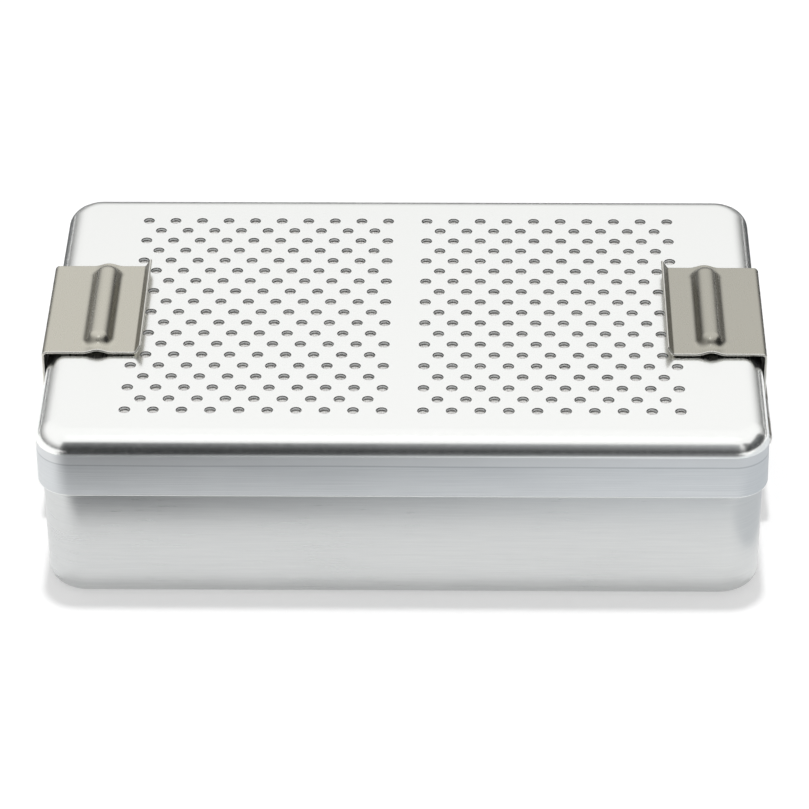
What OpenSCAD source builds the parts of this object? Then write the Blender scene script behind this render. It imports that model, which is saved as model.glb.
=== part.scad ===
// Dental instrument cassette: a drawn aluminium pan with a slip-over perforated lid, two closing clips on
// hinges at the ends, filters held up under the lid, and a lift-out tray with rails for the instruments.
// X runs along the length, Y from front to back and Z up, with the origin on the table under the middle.

/* [Box] */
// Length of the lid at the edge of its skirt
lid_length = 282; // [270:1:320]
// Width of the lid at the edge of its skirt
lid_width = 181; // [175:1:210]
// Height of the lid's top over the table
box_height = 74.5; // [70:0.5:90]
// Depth of the lid's skirt below its top
skirt_depth = 26; // [22:0.5:30]
// Lean of the drawn walls, in degrees
draft = 0.4; // [0.1:0.1:0.8]

/* [Drawn sheet] */
// Sheet of the lid
lid_sheet = 1; // [0.8:0.1:1.2]
// Sheet of the pan
pan_sheet = 1.2; // [1:0.1:1.5]
// Plan radius of the lid's corners
lid_corner = 14; // [12:0.5:18]
// Plan radius of the pan's corners
pan_corner = 16; // [14:0.5:20]
// Radius between the lid's top and its skirt
shoulder_radius = 7.6; // [6.5:0.1:8]
// Radius between the pan's floor and its walls
floor_radius = 6; // [4:0.5:8]
// Air between the skirt and the pan at the rim
skirt_air = 0.3; // [0.3:0.05:0.5]

/* [Perforation] */
// Diameter of the lid's holes
hole_diameter = 4.4; // [3:0.1:5]
// Distance between holes in a row
column_pitch = 11; // [9:0.1:11]
// Distance between rows
row_pitch = 7.75; // [6:0.05:7.8]
// Distance of the innermost holes from the middle of the lid
inner_column = 7.95; // [7:0.05:9]
// Least distance of the outermost holes from the end of the lid
end_margin = 34; // [32:0.5:44]
// Least distance of the holes from the front and the back of the lid
side_margin = 20; // [18:0.5:30]

/* [Clips] */
// Width of a clip, front to back
clip_width = 64; // [52:1:80]
// Sheet of the clips
clip_sheet = 1; // [0.8:0.1:1.2]
// How far a clip reaches over the lid from its end
clip_reach = 34.7; // [32:0.1:40]
// Air between a clip and the lid's top
clip_air = 0.6; // [0.5:0.1:1]
// Air between a clip's leg and the end of the lid
leg_air = 0.4; // [0.3:0.1:0.8]
// Width of the embossed rib
rib_width = 12.8; // [10:0.1:14]
// Height of the embossed rib
rib_height = 4.7; // [3.5:0.1:5]
// Distance of the rib's middle from the end of the lid
rib_setback = 20.5; // [18:0.1:22]
// Plain sheet between an end of the rib and the edge of the clip
rib_margin = 2; // [1.5:0.1:4]
// Rise of the clip's edge at the ends of the rib
edge_arch = 1.3; // [0:0.1:1.5]
// Height of the lip at the inner edge
lip_height = 3; // [2:0.1:4]
// Lean of the lip, in degrees
lip_lean = 30; // [0:1:40]

/* [Hinges] */
// Diameter of the hinge pins
pin_diameter = 2.4; // [2:0.1:3]
// Height of the hinge pins over the table
pin_height = 36; // [32:0.5:40]
// Air round a pin in the loops of a clip
pin_play = 0.1; // [0.05:0.01:0.1]
// Air between the ends of neighbouring loops
loop_air = 0.4; // [0.3:0.1:0.6]
// Diameter of the rivets
rivet_diameter = 3; // [2.5:0.1:3.5]

/* [Under the lid] */
// Thickness of the filters
filter_thickness = 0.6; // [0.4:0.1:1]
// Sheet of the retainers and of their bar
retainer_sheet = 1; // [0.8:0.1:1.2]
// Height of the seal
seal_height = 4; // [3:0.1:4.5]

/* [Tray] */
// Air between the tray and the pan's walls
tray_air = 7; // [6.5:0.5:12]
// Depth of the tray
tray_depth = 22; // [16:0.5:24]
// Sheet of the tray
tray_sheet = 1; // [0.8:0.1:1.2]
// Diameter of the tray's drain holes
drain_diameter = 8; // [5:0.5:9]
// Height of the rails over the tray's floor
rail_height = 25; // [20:0.5:28]
// Notches in each rail
notch_count = 8; // [5:1:9]
// Wire of the bails
bail_wire = 3; // [2.5:0.1:3.5]

/* [Hidden] */
$fn = 64;

// Air between pieces that lie on each other, the overlap of shapes that join, and the reach of cutting shapes
seat = 0.1;
eps = 0.01;
past = 1;
through = 5;

// Derived sizes that neighbouring shapes share are kept to a thousandth, so that the shapes meet exactly.
function fine(v) = round(v * 1000) / 1000;

// Heights of the lid and the pan
lid_top = box_height;
lid_under = lid_top - lid_sheet;
skirt_edge = lid_top - skirt_depth;
rim_height = lid_top - shoulder_radius + seat;

// Middles of the lid's corners, and the sizes of the pan at its rim
lid_cx = lid_length / 2 - lid_corner;
lid_cy = lid_width / 2 - lid_corner;
lid_inner_corner = fine(lid_corner - lid_sheet / cos(draft));
rim_inset = fine(lid_sheet / cos(draft) + (rim_height - skirt_edge) * tan(draft) + skirt_air);
rim_half_x = lid_length / 2 - rim_inset;
rim_half_y = lid_width / 2 - rim_inset;
pan_cx = rim_half_x - pan_corner;
pan_cy = rim_half_y - pan_corner;
pan_wall_sheet = fine(pan_sheet / cos(draft));

// Distance from the middle to the outer face of the pan's end wall at a height
function pan_end(z) = rim_half_x - (rim_height - z) * tan(draft);

// Clips and hinges
end_x = lid_length / 2;
leg_in = end_x + leg_air;
plate_z = lid_top + clip_air;
plate_top = plate_z + clip_sheet;
pin_r = pin_diameter / 2;
bore_r = pin_r + pin_play;
loop_r = bore_r + clip_sheet;
pin_x = leg_in + loop_r;
bend_in = 1;
bend_out = bend_in + clip_sheet;
rib_r = (pow(rib_width / 2, 2) + pow(rib_height, 2)) / (2 * rib_height);
rib_x = end_x - rib_setback;
fold_x = end_x - clip_reach;
loop_count = 5;
loop_pitch = clip_width / loop_count;
notch_top = pin_height + loop_r + loop_air;
notch_low = pin_height - loop_r - through;

// Where a loop of the hinge starts, counted from the front
function loop_start(i) = (i / loop_count - 0.5) * clip_width;

strap_drop = 17;
neck_drop = 6;
rivet_margin = 5;
rivet_inset = 6;
strap_low = pin_height - strap_drop;
neck_low = pin_height - neck_drop;
strap_half = clip_width / 2 - loop_pitch;
rivet_z = strap_low + rivet_margin;
rivet_y = strap_half - rivet_inset;
rivet_head_r = rivet_diameter;
rivet_head_h = 1.2;
rivet_foot = 1;
pin_head = 1.2;
pin_head_r = pin_r + 0.7;

// Holes in a long row of a field, and rows of a field
row_holes = floor((end_x - end_margin - inner_column) / column_pitch) + 1;
row_count = 2 * floor((lid_width / 2 - side_margin) / row_pitch) + 1;

// Filters, retainers and latches under the lid
filter_air = 0.3;
bar_air = 0.2;
frame_margin = 3.5;
frame_side_margin = 2.5;
stud_gap = 4;
filter_top = lid_under - filter_air;
filter_under = filter_top - filter_thickness;
retainer_top = filter_under - seat;
retainer_under = retainer_top - retainer_sheet;
bar_top = retainer_under - seat;
bar_under = bar_top - retainer_sheet;
web_half = 1;
bar_half = 5;
field_in = web_half + bar_air;
hole_reach = inner_column + column_pitch * (row_holes - 1) + hole_diameter / 2;
row_reach = row_pitch * (row_count - 1) / 2 + hole_diameter / 2;
field_out = hole_reach + frame_margin;
field_half = row_reach + frame_side_margin;
frame_edge = 5;
frame_bar = 3;
frame_windows = [5, 5];
tongue_half = 10;
tongue_reach = 4;
stud_x = field_out + tongue_reach + stud_gap;
stud_r = 2;
stud_head_r = 3.4;
stud_head_h = 0.8;
latch_half = 5;
latch_reach = 12;
latch_top = retainer_under - seat;
latch_under = latch_top - retainer_sheet;

// Seal
seal_width = 6;
seal_under = rim_height + seat;
seal_in = lid_inner_corner - seal_width;

// Tray
pan_floor = pan_sheet;
foot_height = 4;
tray_under = pan_floor + foot_height;
tray_floor = tray_under + tray_sheet;
tray_rim = tray_under + tray_depth;
tray_half_x = fine(pan_end(tray_rim) - pan_wall_sheet - tray_air);
tray_half_y = tray_half_x - (lid_length - lid_width) / 2;
tray_corner = 12;
tray_cx = tray_half_x - tray_corner;
tray_cy = tray_half_y - tray_corner;
tray_foot = fine(tray_corner - (tray_depth - tray_sheet) * tan(draft));
tray_flange = 2.5;
tray_wall_sheet = fine(tray_sheet / cos(draft));
drain_pitch = 18;
drains = [floor(tray_cx / drain_pitch), floor(tray_cy / drain_pitch)];
foot_r = 5;
foot_plug_r = 2.5;
foot_lock_r = 3.3;
foot_lock = 1;
foot_inset = 3;
foot_x = tray_cx - foot_inset;
foot_y = tray_cy - foot_inset;

// The rails stand in place of two columns of drain holes, and their plugs between two rows
rail_column = round(0.6 * tray_cx / drain_pitch);
rail_x = rail_column * drain_pitch;
rail_half = 4;
rail_base_half = 7.5;
rail_base = 2.5;
rail_reach = tray_cy;
rail_end = 6;
notch_share = 0.32;
notch_pitch = 2 * (rail_reach - rail_end) / notch_count;
notch_r = notch_pitch * notch_share;
plug_y = (floor(rail_reach / drain_pitch) - 0.5) * drain_pitch;
plug_r = 3;

// Bails
bail_r = bail_wire / 2;
bail_play = 0.2;
bail_z = tray_floor + bail_r + seat;
bail_inset = 10;
bail_gap = 4;
bail_x = tray_half_x - bail_inset;
bail_half = 36;
bail_reach = bail_x - rail_x - rail_base_half - bail_gap;
bail_bend = 5;
bail_turn = 3;
bail_stub = 1.5;
lug_air = 0.6;
lug_sheet = 1.5;
lug_y = bail_half + bail_turn + lug_air;
lug_half = 5;
lug_foot = 12;
bail_end = lug_y + lug_sheet + bail_stub;

// Shape helpers

// Sweeps a wall section round a rectangle with round corners, whose corners have their middles at cx and cy.
// The section's x runs outward from the middle of a corner, and its y is the height.
module swept_wall(cx, cy) {
    for (s = [0, 180]) {
        rotate([0, 0, s]) translate([cx, 0, 0]) rotate([90, 0, 0])
            linear_extrude(2 * cy, center = true) children();
        rotate([0, 0, s]) translate([0, cy, 0]) rotate([90, 0, 90])
            linear_extrude(2 * cx, center = true) children();
        rotate([0, 0, s]) translate([cx, cy, 0]) rotate_extrude(angle = 90) children();
        rotate([0, 0, s]) translate([-cx, cy, 0]) rotate([0, 0, 90]) rotate_extrude(angle = 90) children();
    }
}

// Filled section of a drawn box, whose open edge is at height 0 with the given radius and whose closed end is
// at height h. Its wall leans in by the draft up to an edge radius.
module drawn_section(foot, h, edge) {
    mid = [fine(foot - (h - edge) * tan(draft) - edge / cos(draft)), fine(h - edge)];
    tangent = [fine(edge * cos(draft)), fine(edge * sin(draft))];
    polygon([[0, 0], [foot, 0], mid + tangent, mid, [mid[0], h], [0, h]]);
    translate(mid) intersection() {
        circle(edge);
        polygon([[0, 0], 2 * tangent, [2 * edge, 2 * edge], [0, 2 * edge]]);
    }
}

// Carries an outline, drawn in x and z, along Y between two values of y
module along_y(y0, y1) {
    translate([0, y1, 0]) rotate([90, 0, 0]) linear_extrude(y1 - y0) children();
}

// Cylinder along Y between two values of y
module y_cylinder(r, y0, y1) {
    translate([0, y1, 0]) rotate([90, 0, 0]) cylinder(r = r, h = y1 - y0);
}

// Cylinder along X, away from the middle
module x_cylinder(r, h) {
    rotate([0, 90, 0]) cylinder(r = r, h = h);
}

// The pieces at the ends are drawn for the right one, and turned for the left one.
module at_end(s) {
    rotate([0, 0, s > 0 ? 0 : 180]) children();
}

// Pan and hinges

module base_pan() {
    color("gainsboro") difference() {
        union() {
            swept_wall(pan_cx, pan_cy) pan_wall_section();
            translate([-pan_cx, -pan_cy, 0]) cube([2 * pan_cx, 2 * pan_cy, pan_sheet]);
        }
        for (s = [-1, 1]) at_end(s) rivet_holes();
    }
}

module pan_wall_section() {
    translate([0, rim_height]) mirror([0, 1]) difference() {
        drawn_section(pan_corner, rim_height, floor_radius);
        translate([0, -eps]) drawn_section(pan_corner - pan_wall_sheet, rim_height - pan_sheet + eps,
            floor_radius - pan_sheet);
    }
}

// Strap riveted to the wall, whose two loops stand between the loops of the clip
module hinge_bracket() {
    plate_half = strap_half - loop_air / 2;
    color("silver") difference() {
        union() {
            along_y(-plate_half, plate_half) polygon([
                [pan_end(strap_low), strap_low],
                [pan_end(strap_low) + clip_sheet, strap_low],
                [pan_end(neck_low) + clip_sheet, neck_low],
                [pan_end(neck_low), neck_low]
            ]);
            for (i = [1, 3]) {
                y0 = loop_start(i) + loop_air / 2;
                y1 = loop_start(i + 1) - loop_air / 2;
                along_y(y0, y1) polygon([
                    [pan_end(neck_low), neck_low],
                    [pan_end(neck_low) + clip_sheet, neck_low],
                    [pin_x, pin_height - bore_r],
                    [pin_x - bore_r, pin_height],
                    [pin_x - loop_r, pin_height],
                    [pan_end(neck_low + clip_sheet), neck_low + clip_sheet]
                ]);
                translate([pin_x, 0, pin_height]) y_cylinder(loop_r, y0, y1);
            }
        }
        translate([pin_x, 0, pin_height]) y_cylinder(pin_r + seat / 2, -clip_width, clip_width);
        rivet_holes();
    }
}

module hinge_pin() {
    half = clip_width / 2 + loop_air;
    color("silver") translate([pin_x, 0, pin_height]) {
        y_cylinder(pin_r, -half, half);
        for (s = [-1, 1]) translate([0, s > 0 ? half : -half - pin_head, 0])
            y_cylinder(pin_head_r, 0, pin_head);
    }
}

// Rivets through the bracket and the wall, with a round head outside and a flat one inside
module bracket_rivets() {
    wall_in = pan_end(rivet_z) - pan_wall_sheet - seat;
    wall_out = pan_end(rivet_z) + clip_sheet + seat;
    grip = wall_out - wall_in;
    cap_r = (pow(rivet_head_r, 2) + pow(rivet_head_h, 2)) / (2 * rivet_head_h);
    color("silver") for (y = [-rivet_y, rivet_y])
        translate([wall_in, y, rivet_z]) rotate([0, 90, 0]) rotate_extrude() {
            translate([0, -rivet_foot]) square([rivet_head_r, rivet_foot]);
            square([rivet_diameter / 2, grip]);
            intersection() {
                translate([0, grip + rivet_head_h - cap_r]) circle(cap_r);
                translate([0, grip]) square([cap_r, cap_r]);
            }
        }
}

module rivet_holes() {
    for (y = [-rivet_y, rivet_y]) translate([pan_end(rivet_z) - through, y, rivet_z])
        x_cylinder(rivet_diameter / 2 + seat / 2, 2 * through);
}

// Clips

// Section of the sheet, with the leg, the bend over the end of the lid, the plate and the lip
module clip_section() {
    translate([leg_in, pin_height]) square([clip_sheet, plate_z - bend_in - pin_height]);
    translate([leg_in - bend_in, plate_z - bend_in]) intersection() {
        ring(bend_in, bend_out);
        square(bend_out);
    }
    translate([fold_x, plate_z]) square([leg_in - bend_in - fold_x, clip_sheet]);
    translate([fold_x, plate_top + bend_in]) {
        intersection() {
            ring(bend_in, bend_out);
            wedge(180 + lip_lean, 270);
        }
        rotate(lip_lean) translate([-bend_out, 0]) square([clip_sheet, lip_height / cos(lip_lean)]);
    }
}

module ring(r_in, r_out) {
    difference() {
        circle(r_out);
        circle(r_in);
    }
}

module wedge(a0, a1) {
    reach = 2 * bend_out;
    polygon([
        [0, 0],
        [reach * cos(a0), reach * sin(a0)],
        [reach * cos((a0 + a1) / 2) * 1.5, reach * sin((a0 + a1) / 2) * 1.5],
        [reach * cos(a1), reach * sin(a1)]
    ]);
}

// Half-round rib with ball ends, and the low arch that the embossing leaves at the edges of the sheet
module rib(r) {
    straight = clip_width / 2 - rib_margin - rib_width / 2;
    translate([rib_x, 0, plate_top + rib_height - rib_r]) {
        y_cylinder(r, -straight, straight);
        for (y = [-straight, straight]) translate([0, y, 0]) sphere(r);
    }
    if (edge_arch > 0) {
        translate([rib_x, 0, plate_top + edge_arch - rib_r])
            y_cylinder(r, -clip_width / 2, clip_width / 2);
    }
}

module clip() {
    color("darkgray") difference() {
        union() {
            difference() {
                along_y(-clip_width / 2, clip_width / 2) clip_section();
                rib(rib_r - clip_sheet);
            }
            intersection() {
                difference() {
                    rib(rib_r);
                    rib(rib_r - clip_sheet);
                }
                translate([rib_x - rib_width, -clip_width / 2, plate_z])
                    cube([2 * rib_width, clip_width, 2 * rib_height]);
            }
            translate([pin_x, 0, pin_height]) y_cylinder(loop_r, -clip_width / 2, clip_width / 2);
        }
        translate([pin_x, 0, pin_height]) y_cylinder(bore_r, -clip_width, clip_width);
        // Gaps for the loops of the bracket
        for (i = [1, 3]) translate([leg_in - through, loop_start(i) - loop_air / 2, notch_low])
            cube([2 * through + 2 * loop_r, loop_pitch + loop_air, notch_top - notch_low]);
    }
}

// Lid

module lid_shell() {
    color("whitesmoke") {
        swept_wall(lid_cx, lid_cy) lid_wall_section();
        difference() {
            translate([-lid_cx, -lid_cy, lid_under]) cube([2 * lid_cx, 2 * lid_cy, lid_sheet]);
            perforation();
        }
    }
}

module lid_wall_section() {
    translate([0, skirt_edge]) difference() {
        drawn_section(lid_corner, skirt_depth, shoulder_radius);
        translate([0, -eps]) drawn_section(lid_inner_corner, skirt_depth - lid_sheet + eps,
            shoulder_radius - lid_sheet);
    }
}

// Two fields of holes, in rows that are shifted by half a pitch in turn
module perforation() {
    for (s = [-1, 1], row = [0 : row_count - 1], i = [0 : row_holes - 1 - row % 2])
        translate([s * (inner_column + column_pitch * (i + (row % 2) / 2)),
            (row_count - 1 - 2 * row) * row_pitch / 2, lid_under - past])
            cylinder(d = hole_diameter, h = lid_sheet + 2 * past);
}

// Silicone ring in the hollow of the shoulder, which closes on the pan's rim
module lid_seal() {
    color("lightsteelblue") swept_wall(lid_cx, lid_cy) intersection() {
        translate([0, skirt_edge]) drawn_section(lid_inner_corner, skirt_depth - lid_sheet,
            shoulder_radius - lid_sheet);
        translate([seal_in, seal_under]) square([lid_inner_corner, seal_height]);
    }
}

// Filters and what holds them

module filter() {
    color("ivory") translate([field_in, -field_half, filter_under])
        cube([field_out - field_in - 1, 2 * field_half, filter_thickness]);
}

module retainer() {
    inner = [field_out - field_in - 2 * frame_edge, 2 * field_half - 2 * frame_edge];
    window = [for (k = [0, 1]) (inner[k] - (frame_windows[k] - 1) * frame_bar) / frame_windows[k]];
    color("silver") translate([0, 0, retainer_under]) linear_extrude(retainer_sheet) difference() {
        union() {
            translate([field_in, -field_half]) square([field_out - field_in, 2 * field_half]);
            translate([field_out - 1, -tongue_half]) square([tongue_reach + 1, 2 * tongue_half]);
        }
        for (i = [0 : frame_windows[0] - 1], j = [0 : frame_windows[1] - 1])
            translate([field_in + frame_edge + i * (window[0] + frame_bar),
                -field_half + frame_edge + j * (window[1] + frame_bar)]) square(window);
    }
}

// T bar under the middle of the lid, whose flanges carry the inner edges of both retainers
module retainer_bar() {
    color("silver") {
        translate([-web_half, -field_half, bar_under])
            cube([2 * web_half, 2 * field_half, lid_under - bar_under]);
        translate([-bar_half, -field_half, bar_under])
            cube([2 * bar_half, 2 * field_half, retainer_sheet]);
    }
}

module latch_stud() {
    head_top = latch_under - seat;
    color("silver") translate([stud_x, 0, 0]) {
        translate([0, 0, head_top - eps]) cylinder(r = stud_r, h = lid_under - head_top + eps);
        translate([0, 0, head_top - stud_head_h]) cylinder(r = stud_head_r, h = stud_head_h);
    }
}

module turn_latch() {
    color("darkgray") translate([stud_x, 0, latch_under]) linear_extrude(retainer_sheet) difference() {
        union() {
            circle(latch_half);
            translate([-latch_reach, -latch_half]) square([latch_reach, 2 * latch_half]);
            translate([-latch_reach, 0]) circle(latch_half);
        }
        circle(stud_r + seat);
    }
}

// Tray

// Drilled sheet, which carries the rails and the ears of the bails
module tray_bottom() {
    color("silver") difference() {
        union() {
            swept_wall(tray_cx, tray_cy) translate([0, tray_under]) square([tray_foot, tray_sheet]);
            translate([-tray_cx, -tray_cy, tray_under]) cube([2 * tray_cx, 2 * tray_cy, tray_sheet]);
        }
        for (i = [-drains[0] : drains[0]], j = [-drains[1] : drains[1]]) if (abs(i) != rail_column)
            floor_hole(i * drain_pitch, j * drain_pitch, drain_diameter / 2);
        for (x = [-foot_x, foot_x], y = [-foot_y, foot_y]) floor_hole(x, y, foot_plug_r + seat / 2);
        for (x = [-rail_x, rail_x], y = [-plug_y, plug_y]) floor_hole(x, y, plug_r + seat / 2);
    }
}

module floor_hole(x, y, r) {
    translate([x, y, tray_under - past]) cylinder(r = r, h = tray_sheet + 2 * past);
}

// Wall round the tray, welded on the edge of its bottom, with a rim turned out at the top
module tray_frame() {
    color("silver") swept_wall(tray_cx, tray_cy) polygon([
        [tray_foot - tray_wall_sheet, tray_floor],
        [tray_foot, tray_floor],
        [tray_corner, tray_rim - tray_sheet],
        [tray_corner + tray_flange, tray_rim - tray_sheet],
        [tray_corner + tray_flange, tray_rim],
        [tray_corner - tray_wall_sheet, tray_rim]
    ]);
}

// Silicone feet, plugged into the tray's floor
module tray_feet() {
    color("slategray") for (x = [-foot_x, foot_x], y = [-foot_y, foot_y]) translate([x, y, 0]) {
        translate([0, 0, pan_floor + seat]) cylinder(r = foot_r, h = foot_height - seat);
        translate([0, 0, tray_under - eps]) cylinder(r = foot_plug_r, h = tray_sheet + seat + 2 * eps);
        translate([0, 0, tray_floor + seat]) cylinder(r = foot_lock_r, h = foot_lock);
    }
}

// Silicone rail with notches for the handles of the instruments
module rail() {
    color("steelblue") difference() {
        translate([rail_x, 0, tray_floor]) {
            translate([-rail_base_half, -rail_reach, 0])
                cube([2 * rail_base_half, 2 * rail_reach, rail_base]);
            translate([-rail_half, -rail_reach, rail_base - eps])
                cube([2 * rail_half, 2 * rail_reach, rail_height - rail_base + eps]);
            for (y = [-plug_y, plug_y]) translate([0, y, -tray_sheet])
                cylinder(r = plug_r, h = tray_sheet + eps);
        }
        for (i = [0 : notch_count - 1]) {
            y = (i - (notch_count - 1) / 2) * notch_pitch;
            translate([rail_x, y, tray_floor + rail_height - notch_r]) {
                rotate([0, 90, 0]) cylinder(r = notch_r, h = 4 * rail_half, center = true);
                translate([-2 * rail_half, -notch_r, 0]) cube([4 * rail_half, 2 * notch_r, 2 * notch_r]);
            }
        }
    }
}

// Ears on the tray's floor, which carry the bails
module bail_lugs() {
    color("silver") for (s = [-1, 1], f = [0, 1]) at_end(s) mirror([0, f, 0]) difference() {
        union() {
            translate([bail_x, 0, bail_z]) y_cylinder(lug_half, lug_y, lug_y + lug_sheet);
            translate([bail_x - lug_half, lug_y, tray_floor])
                cube([2 * lug_half, lug_sheet, bail_z - tray_floor]);
            translate([bail_x - lug_half, lug_y, tray_floor]) cube([2 * lug_half, lug_foot, lug_sheet]);
        }
        translate([bail_x, 0, bail_z])
            y_cylinder(bail_r + bail_play, lug_y - past, bail_end + past);
        // The round end stops at the floor
        translate([bail_x - 2 * lug_half, lug_y - past, tray_floor - 2 * lug_half])
            cube([4 * lug_half, lug_sheet + 2 * past, 2 * lug_half]);
    }
}

// Wire handle, folded in on the tray's floor, with its ends turned out through the ears
module bail() {
    far_x = bail_x - bail_reach;
    color("silver") translate([0, 0, bail_z]) {
        translate([far_x, 0, 0]) y_cylinder(bail_r, -bail_half + bail_bend, bail_half - bail_bend);
        for (f = [0, 1]) mirror([0, f, 0]) {
            translate([far_x + bail_bend, bail_half - bail_bend, 0]) rotate([0, 0, 90]) wire_bend(bail_bend);
            translate([far_x + bail_bend, bail_half, 0])
                x_cylinder(bail_r, bail_reach - bail_bend - bail_turn);
            translate([bail_x - bail_turn, bail_half + bail_turn, 0]) rotate([0, 0, -90])
                wire_bend(bail_turn);
            translate([bail_x, 0, 0]) y_cylinder(bail_r, bail_half + bail_turn, bail_end);
        }
    }
}

module wire_bend(r) {
    rotate_extrude(angle = 90) translate([r, 0]) circle(bail_r);
}

// Nodes

module left_hinge_bracket() at_end(-1) hinge_bracket();
module right_hinge_bracket() at_end(1) hinge_bracket();
module left_hinge_pin() at_end(-1) hinge_pin();
module right_hinge_pin() at_end(1) hinge_pin();
module left_bracket_rivets() at_end(-1) bracket_rivets();
module right_bracket_rivets() at_end(1) bracket_rivets();
module left_clip() at_end(-1) clip();
module right_clip() at_end(1) clip();
module filter_left() at_end(-1) filter();
module filter_right() at_end(1) filter();
module retainer_left() at_end(-1) retainer();
module retainer_right() at_end(1) retainer();
module left_latch_stud() at_end(-1) latch_stud();
module right_latch_stud() at_end(1) latch_stud();
module left_turn_latch() at_end(-1) turn_latch();
module right_turn_latch() at_end(1) turn_latch();
module left_rail() at_end(-1) rail();
module right_rail() at_end(1) rail();
module left_bail() at_end(-1) bail();
module right_bail() at_end(1) bail();

base_pan();
left_hinge_bracket();
right_hinge_bracket();
left_hinge_pin();
right_hinge_pin();
left_bracket_rivets();
right_bracket_rivets();
left_clip();
right_clip();
lid_shell();
lid_seal();
filter_left();
filter_right();
retainer_left();
retainer_right();
retainer_bar();
left_latch_stud();
right_latch_stud();
left_turn_latch();
right_turn_latch();
tray_bottom();
tray_frame();
tray_feet();
left_rail();
right_rail();
bail_lugs();
left_bail();
right_bail();
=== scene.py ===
import math

import bmesh
import bpy
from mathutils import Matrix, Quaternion, Vector


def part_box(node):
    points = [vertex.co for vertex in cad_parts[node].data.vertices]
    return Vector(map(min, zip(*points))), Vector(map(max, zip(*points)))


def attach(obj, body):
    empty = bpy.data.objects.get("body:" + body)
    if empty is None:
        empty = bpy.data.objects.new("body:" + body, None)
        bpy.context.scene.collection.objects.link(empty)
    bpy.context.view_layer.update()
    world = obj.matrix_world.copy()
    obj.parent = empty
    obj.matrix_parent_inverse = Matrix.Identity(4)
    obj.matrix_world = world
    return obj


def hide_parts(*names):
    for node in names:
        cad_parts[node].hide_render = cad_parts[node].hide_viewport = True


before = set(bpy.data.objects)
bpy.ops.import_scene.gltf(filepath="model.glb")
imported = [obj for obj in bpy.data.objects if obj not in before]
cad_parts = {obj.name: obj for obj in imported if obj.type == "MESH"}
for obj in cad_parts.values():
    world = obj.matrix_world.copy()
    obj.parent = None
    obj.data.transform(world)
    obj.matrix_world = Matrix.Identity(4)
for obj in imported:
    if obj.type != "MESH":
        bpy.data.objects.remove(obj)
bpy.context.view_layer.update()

# Lid: a shell drawn from 1 mm aluminium sheet, satin on top and brushed round its skirt. Two fields of holes
# are punched through its top, and it slips over the rim of the pan. The outer skin is shaped first, then the
# punched fields are let into its top, and last the whole skin gets the thickness of the sheet.
MM = 0.001
TINY = 0.001 * MM
MOSTLY, QUITE = 0.9, 0.999
SHARP = math.radians(50)
lid_low, lid_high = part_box("lid_shell")
LID_LENGTH = lid_high.x - lid_low.x
LID_WIDTH = lid_high.y - lid_low.y
LID_TOP = lid_high.z
SKIRT_EDGE = lid_low.z
SKIRT = LID_TOP - SKIRT_EDGE
DRAFT = math.tan(math.radians(0.4))
LID_SHEET = 1 * MM
LID_CORNER = 14 * MM
SHOULDER = 7.6 * MM
CORNER_CUTS = 16
EDGE_CUTS = 12
FLAT_STRIP = 1 * MM
HOLE = 4.0 * MM
HOLE_SIDES = 20
HOLE_RIM = 0.24 * MM
SKIRT_RIM = 0.3 * MM
COLUMN_PITCH = 11 * MM
ROW_PITCH = 7.75 * MM
INNER_COLUMN = 7.95 * MM
LONG_ROW = 10
ROWS = 19
CELL_CUTS = (6, 4)
INSIDE = 0.49


def make_active(piece):
    """Leaves this piece alone selected, and active."""
    deselect_all()
    piece.select_set(True)
    bpy.context.view_layer.objects.active = piece


def deselect_all():
    bpy.ops.object.select_all(action="DESELECT")


def open_edit():
    bpy.ops.object.mode_set(mode="EDIT")


def close_edit():
    bpy.ops.object.mode_set(mode="OBJECT")


def start_piece(name):
    """Names the primitive that was just added and opens it in edit mode."""
    piece = bpy.context.object
    piece.name = name
    piece.data.name = name
    open_edit()
    bpy.ops.mesh.select_all(action="SELECT")
    return piece


def new_cube(name, size, centre):
    deselect_all()
    bpy.ops.mesh.primitive_cube_add(size=1)
    piece = start_piece(name)
    bpy.ops.transform.resize(value=size)
    bpy.ops.transform.translate(value=centre)
    return piece


def new_grid(name, cuts, size, centre):
    deselect_all()
    bpy.ops.mesh.primitive_grid_add(x_subdivisions=cuts[0], y_subdivisions=cuts[1], size=1)
    piece = start_piece(name)
    bpy.ops.transform.resize(value=(size[0], size[1], 1))
    bpy.ops.transform.translate(value=centre)
    return piece


def pick(kind, test):
    """Selects the vertices, edges or faces of the open mesh that pass the test."""
    mesh = bpy.context.edit_object.data
    bpy.ops.mesh.select_mode(type=kind)
    bpy.ops.mesh.select_all(action="DESELECT")
    shape = bmesh.from_edit_mesh(mesh)
    shape.normal_update()
    parts = {"VERT": shape.verts, "EDGE": shape.edges, "FACE": shape.faces}[kind]
    for part in parts:
        if test(part):
            part.select_set(True)
    bmesh.update_edit_mesh(mesh)


def both(edge, test):
    """Whether both ends of an edge pass the test."""
    return all(test(vertex.co) for vertex in edge.verts)


def is_upright(edge):
    direction = edge.verts[0].co - edge.verts[1].co
    return abs(direction.z) > MOSTLY * direction.length


def is_sharp(edge):
    return len(edge.link_faces) == 2 and edge.calc_face_angle() > SHARP


def modify(piece, kind, **settings):
    """Adds a modifier with these settings and applies it."""
    make_active(piece)
    modifier = piece.modifiers.new(kind.lower(), kind)
    for name, value in settings.items():
        setattr(modifier, name, value)
    bpy.ops.object.modifier_apply(modifier=modifier.name)


def spread(piece, count, step):
    """Repeats the piece at even steps."""
    modify(piece, "ARRAY", count=count, use_relative_offset=False, use_constant_offset=True,
           constant_offset_displace=step)


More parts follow.
